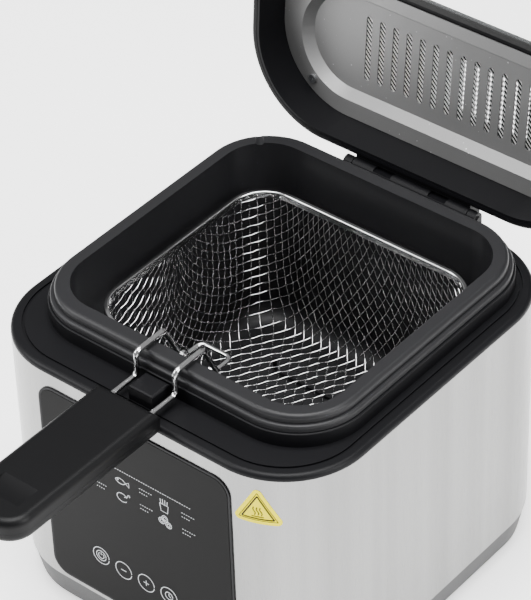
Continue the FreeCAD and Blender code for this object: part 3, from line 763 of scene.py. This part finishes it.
class PanelPrint:
    """Generic line icons printed on the touch panel."""

    def __init__(self, sizes: PanelSizes, palette: Palette) -> None:
        """Keeps the sizes and the finishes."""
        self.s = sizes
        self.palette = palette

    def arc(self, x: float, z: float, r: float, start: float = 0, end: float = 350, n: int = 20,
            flat: float = 1.0) -> np.ndarray:
        """Part of a circle or a flattened circle on the panel.

        Args:
            x: Middle along X.
            z: Middle along Z.
            r: Radius along X.
            start: First angle in degrees.
            end: Last angle in degrees.
            n: Number of points.
            flat: Radius along Z as a share of the one along X.

        Returns:
            The points, one row each.
        """
        t = np.radians(np.linspace(start, end, n))
        return np.stack([x + r * np.cos(t), np.full(n, self.s.face_y), z + flat * r * np.sin(t)], axis=1)

    def line(self, *points: tuple[float, float]) -> np.ndarray:
        """Straight strokes through (x, z) points."""
        return np.array([(x, self.s.face_y, z) for x, z in points])

    def dots(self, x: float, z: float, long: float) -> list[np.ndarray]:
        """A dotted row standing for a time or a heat setting."""
        return [self.line((x + k, z), (x + k + 0.9, z)) for k in np.arange(0.0, long, 1.8)]

    def fish(self, x: float, z: float) -> list[np.ndarray]:
        """A fish seen from the side."""
        back = self.arc(x - 1.2, z - 2.9, 5.0, 35, 145)
        belly = self.arc(x - 1.2, z + 2.9, 5.0, 215, 325)
        tail = self.line((x + 2.9, z), (x + 5.6, z + 2.0), (x + 5.6, z - 2.0), (x + 2.9, z))
        return [back, belly, tail, self.arc(x - 3.2, z + 0.5, 0.4, 0, 330, 8)]

    def leg(self, x: float, z: float) -> list[np.ndarray]:
        """A drumstick."""
        meat = self.arc(x - 0.6, z, 4.2, 20, 330, flat=3.4 / 4.2)
        bone = self.line((x + 1.2, z + 1.0), (x + 4.4, z + 3.2))
        return [meat, bone, self.arc(x + 5.0, z + 3.8, 0.8, -60, 210, 12)]

    def fries(self, x: float, z: float) -> list[np.ndarray]:
        """A tub of fries."""
        tub = self.line((x - 3.4, z + 1.0), (x - 2.6, z - 5.0), (x + 2.6, z - 5.0), (x + 3.4, z + 1.0),
                        (x - 3.4, z + 1.0))
        sticks = [self.line((x + k, z + 1.0), (x + 1.2 * k, z + 5.4 - 0.3 * abs(k)))
                  for k in (-2.4, -0.8, 0.8, 2.4)]
        return [tub] + sticks

    def rings(self, x: float, z: float) -> list[np.ndarray]:
        """Three fried rings."""
        places = ((-2.6, 0.0), (0.0, 2.8), (2.8, -1.2))
        return [self.arc(x + k, z + h, r) for k, h in places for r in (2.3, 1.2)]

    def power(self, x: float, z: float) -> list[np.ndarray]:
        """A power sign in two rings."""
        r = self.s.ring
        sign = self.arc(x, z, r * 0.34, 125, 415)
        return [self.arc(x, z, r, n=40), self.arc(x, z, r * 0.6, n=30), sign,
                self.line((x, z + r * 0.1), (x, z + r * 0.42))]

    def foods(self) -> list[np.ndarray]:
        """The food icons, each with two setting rows, and the rows cut off at the left."""
        s = self.s
        out = []
        icons = ((self.fish, s.fish), (self.leg, s.leg), (self.fries, s.fries), (self.rings, s.rings))
        for draw, (x, z) in icons:
            out += draw(x, z)
            out += self.dots(x + s.beside, z + 2.6, 10.0)
            out += self.dots(x + s.beside, z - 0.6, 7.0)
        x, z = s.left_rows
        return out + self.dots(x, z, 9.0) + self.dots(x, z - 3.2, 7.0)

    def keys(self) -> list[np.ndarray]:
        """Three touch rings: less, more and a clock."""
        z = self.s.keys_z
        less, more, clock = self.s.keys_x
        out = [self.arc(x, z, self.s.ring, n=40) for x in self.s.keys_x]
        out += [self.line((less - 2.2, z), (less + 2.2, z)), self.line((more - 2.2, z), (more + 2.2, z))]
        out += [self.line((more, z - 2.2), (more, z + 2.2)), self.arc(clock, z, 3.0)]
        out.append(self.line((clock, z + 2.0), (clock, z), (clock + 1.6, z - 0.8)))
        return out

    def marks(self) -> list[np.ndarray]:
        """Every stroke on the panel."""
        left, right, z = self.s.rule
        starts = np.arange(left, right, self.s.rule_pitch)
        rule = [self.line((x, z), (x + self.s.rule_dot, z)) for x in starts]
        return rule + self.foods() + self.power(*self.s.power) + self.keys()

    def build(self) -> list[bpy.types.Object]:
        """Makes the printed marks as one thin piece.

        Returns:
            The print.
        """
        lines = [p * MM for p in self.marks()]
        piece = Build.ribbons("panel_print", lines, self.s.stroke * MM, self.s.thick * MM)
        self.palette.paint(piece, "print_pale_grey_ink")
        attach(piece, "base")
        return [piece]


# ---------------------------------------------------------------- corner label
@dataclass(frozen=True)
class LabelSizes:
    """The hot-surface label on the rounded front corner, in millimetres.

    Attributes:
        centre_x: Middle of the corner's cylinder along X.
        centre_y: The same along Y.
        radius: The label's face round that middle.
        turn_deg: Where the label's middle sits round the corner.
        z: Height of the label's middle.
        border: From the middle to a tip of the bold triangle.
        outline: From the middle to a tip of the thin triangle.
        wave_gap: Distance between heat waves.
        wave_half: Half the height of a heat wave.
        plate_half: Half the length of the line under the waves.
        plate_drop: How far that line is below the middle.
    """

    centre_x: float = 72.7
    centre_y: float = -76.7
    radius: float = 57.56
    turn_deg: float = -69.0
    z: float = 170.0
    border: float = 11.7
    outline: float = 14.2
    wave_gap: float = 2.1
    wave_half: float = 3.0
    plate_half: float = 3.8
    plate_drop: float = 4.2


class Label:
    """A black border and three heat waves printed on the yellow label."""

    def __init__(self, sizes: LabelSizes, palette: Palette) -> None:
        """Keeps the sizes and the finishes."""
        self.s = sizes
        self.palette = palette

    def wrap(self, flat: np.ndarray, sunk: float) -> np.ndarray:
        """Lays flat (across, up) points on the corner's cylinder, in metres.

        Args:
            flat: Points on the unrolled label in millimetres.
            sunk: Depth below the label's face in millimetres.

        Returns:
            The points, one row each.
        """
        a = math.radians(self.s.turn_deg) + flat[:, 0] / self.s.radius
        x = self.s.centre_x + (self.s.radius - sunk) * np.cos(a)
        y = self.s.centre_y + (self.s.radius - sunk) * np.sin(a)
        return np.stack([x, y, self.s.z + flat[:, 1]], axis=1) * MM

    def triangle(self, span: float, sunk: float) -> list[np.ndarray]:
        """Three sides of an upright triangle, each bent round the corner.

        Args:
            span: From the middle to a tip in millimetres.
            sunk: Depth below the label's face in millimetres.

        Returns:
            The three sides, in metres.
        """
        tips = [np.array([span * math.cos(a), span * math.sin(a)]) for a in np.radians((90, 210, 330, 450))]
        along = np.linspace(0.0, 1.0, 16)[:, None]
        return [self.wrap(a + (b - a) * along, sunk) for a, b in zip(tips, tips[1:])]

    def waves(self) -> list[np.ndarray]:
        """Three heat waves and the hot plate's line under them."""
        s = self.s
        up = np.linspace(-s.wave_half, s.wave_half, 18)
        flat = [np.stack([x - 0.7 * np.sin(up * 0.95), up], axis=1) for x in (-s.wave_gap, 0.0, s.wave_gap)]
        across = np.linspace(-s.plate_half, s.plate_half, 10)
        flat.append(np.stack([across, np.full_like(across, -s.plate_drop)], axis=1))
        return [self.wrap(line, 0.1) for line in flat]

    def build(self) -> list[bpy.types.Object]:
        """Makes the bold border, the thin outline and the heat waves as raised strokes.

        Returns:
            The three printed pieces.
        """
        made = []
        for name, lines, radius in (("label_border", self.triangle(self.s.border, 0.4), 0.66),
                                    ("label_outline", self.triangle(self.s.outline, 0.0), 0.2),
                                    ("label_waves", self.waves(), 0.36)):
            piece = Build.tubes(name, lines, radius * MM, 8)
            self.palette.paint(piece, "print_black_ink")
            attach(piece, "base")
            made.append(piece)
        return made


# ---------------------------------------------------------------- CAD finishes
class CadDress:
    """Gives each shown CAD node its finish."""

    FINISH_OF: dict[str, str] = {
        "steel_shell": "stainless_vertical_brushed",
        "base_plinth": "dark_plinth_pp_textured",
        "rubber_feet": "rubber_black_moulded",
        "top_frame": "black_pp_satin_moulded",
        "handle_guide_block": "black_pp_satin_moulded",
        "hinge_bracket": "black_pp_satin_moulded",
        "lid_cover": "black_pp_satin_moulded",
        "lid_liner": "black_pp_satin_moulded",
        "filter_cover": "black_pp_satin_moulded",
        "reset_guard": "black_pp_satin_moulded",
        "panel_bezel": "black_pp_satin_moulded",
        "hinge_pin": "black_pp_satin_moulded",
        "plate_screws": "steel_zinc_plated",
        "grip_upper": "black_bakelite_satin_moulded",
        "grip_lower": "black_bakelite_satin_moulded",
        "inner_pot": "nonstick_flecked_painted_shimmer",
        "lid_inner_plate": "aluminium_bead_blasted",
        "lid_window": "window_tempered_clear",
        "window_gasket": "rubber_black_moulded",
        "control_panel": "panel_tinted_gloss_glass",
        "hot_surface_decal": "vinyl_yellow_printed",
        "cord_gland": "rubber_black_moulded",
        "reset_button": "button_red_gloss_moulded",
        "basket_rim": "wire_bright_chromed",
        "basket_legs": "black_pp_satin_moulded",
        "basket_bracket": "wire_bright_chromed",
        "handle_wire": "wire_bright_chromed",
        "heater_plate": "aluminium_die_cast",
        "heating_element": "element_sheath_oxidised",
        "control_board": "board_green_solder_mask",
        "power_board": "board_green_solder_mask",
    }

    def __init__(self, palette: Palette) -> None:
        """Keeps the finishes."""
        self.palette = palette

    def dress(self) -> None:
        """Paints every CAD node; anything not listed is zinc-plated steel."""
        for name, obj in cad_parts.items():
            self.palette.paint(obj, self.FINISH_OF.get(name, "steel_zinc_plated"))


# ---------------------------------------------------------------- studio
@dataclass(frozen=True)
class Soft:
    """One soft studio light, in metres and watts."""

    name: str
    place: tuple[float, float, float]
    aim: tuple[float, float, float]
    size: tuple[float, float]
    power: float


@dataclass(frozen=True)
class StudioSizes:
    """Camera, surround and lights, in metres; the camera's axes are unit vectors."""

    eye: tuple[float, float, float] = (0.94931, -1.11649, 1.38419)
    right: tuple[float, float, float] = (0.77405512, 0.63249184, -0.02815561)
    up: tuple[float, float, float] = (-0.38102014, 0.50089363, 0.77712883)
    back: tuple[float, float, float] = (0.50563061, -0.5908127, 0.62871141)
    lens: float = 182.7
    floor_side: float = 16.0
    floor_glow: float = 0.8
    surround: float = 0.46
    softs: tuple[Soft, ...] = field(default_factory=lambda: (
        Soft("key_left", (-1.7, -1.5, 1.7), (0.0, 0.0, 0.15), (1.0, 1.4), 84.0),
        Soft("fill_right", (2.0, 0.1, 1.3), (0.0, 0.0, 0.15), (0.9, 1.4), 60.0),
        Soft("top", (0.1, -0.1, 2.4), (0.0, 0.0, 0.1), (1.6, 1.6), 150.0),
    ))


class Studio:
    """Floor, world, lights and camera. Nothing here belongs to the fryer."""

    def __init__(self, sizes: StudioSizes) -> None:
        """Keeps the sizes."""
        self.s = sizes

    def floor(self) -> None:
        """A pale plain floor under the feet that glows a little, like a light table."""
        bpy.ops.mesh.primitive_plane_add(size=self.s.floor_side, location=(0, 0, 0))
        ground = bpy.context.object
        ground.name = "studio_floor"
        mat = bpy.data.materials.new("floor_paper")
        mat.use_nodes = True
        tree = mat.node_tree
        coord = add(tree, "TexCoord")
        noise = add(tree, "TexNoise", {"Vector": coord.outputs["Object"]}, Scale=6.0)
        tone = add(tree, "MixRGB", {"Fac": noise.outputs[0]}, Color1=linear("#F6F6F6"),
                   Color2=linear("#FAFAFA"))
        shader = tree.nodes["Principled BSDF"]
        shader.inputs["Roughness"].default_value = 0.9
        shader.inputs["Emission Color"].default_value = (1.0, 1.0, 1.0, 1.0)
        shader.inputs["Emission Strength"].default_value = self.s.floor_glow
        tree.links.new(tone.outputs[0], shader.inputs["Base Color"])
        ground.data.materials.append(mat)

    def lights(self) -> None:
        """A bright even surround and three soft lights."""
        world = bpy.data.worlds.new("studio_surround")
        bpy.context.scene.world = world
        world.use_nodes = True
        world.node_tree.nodes["Background"].inputs["Color"].default_value = (1.0, 1.0, 1.0, 1.0)
        world.node_tree.nodes["Background"].inputs["Strength"].default_value = self.s.surround
        for soft in self.s.softs:
            data = bpy.data.lights.new(soft.name, "AREA")
            data.shape = "RECTANGLE"
            data.size, data.size_y = soft.size
            data.energy = soft.power
            lamp = bpy.data.objects.new(soft.name, data)
            lamp.location = soft.place
            lamp.rotation_euler = (Vector(soft.aim) - Vector(soft.place)).to_track_quat("-Z", "Y").to_euler()
            bpy.context.scene.collection.objects.link(lamp)

    def camera(self) -> None:
        """The long lens above and to the right of the front."""
        data = bpy.data.cameras.new("camera")
        data.lens = self.s.lens
        data.sensor_width = 36.0
        eye = bpy.data.objects.new("camera", data)
        turn = Matrix((self.s.right, self.s.up, self.s.back)).transposed().to_4x4()
        eye.matrix_world = Matrix.Translation(self.s.eye) @ turn
        bpy.context.scene.collection.objects.link(eye)
        bpy.context.scene.camera = eye

    def build(self) -> None:
        """Sets the whole studio."""
        self.floor()
        self.lights()
        self.camera()


def main() -> None:
    """Builds and dresses the fryer, then the studio."""
    logging.basicConfig(level=logging.INFO, format="%(message)s")
    palette = Palette()
    CadDress(palette).dress()
    for part in (Basket(BasketSizes(), palette), Lid(HingeSizes(), palette),
                 PanelPrint(PanelSizes(), palette), Label(LabelSizes(), palette)):
        for piece in part.build():
            log.info("piece %s: %d faces", piece.name, len(piece.data.polygons))
    Studio(StudioSizes()).build()


if __name__ == "__main__":
    main()
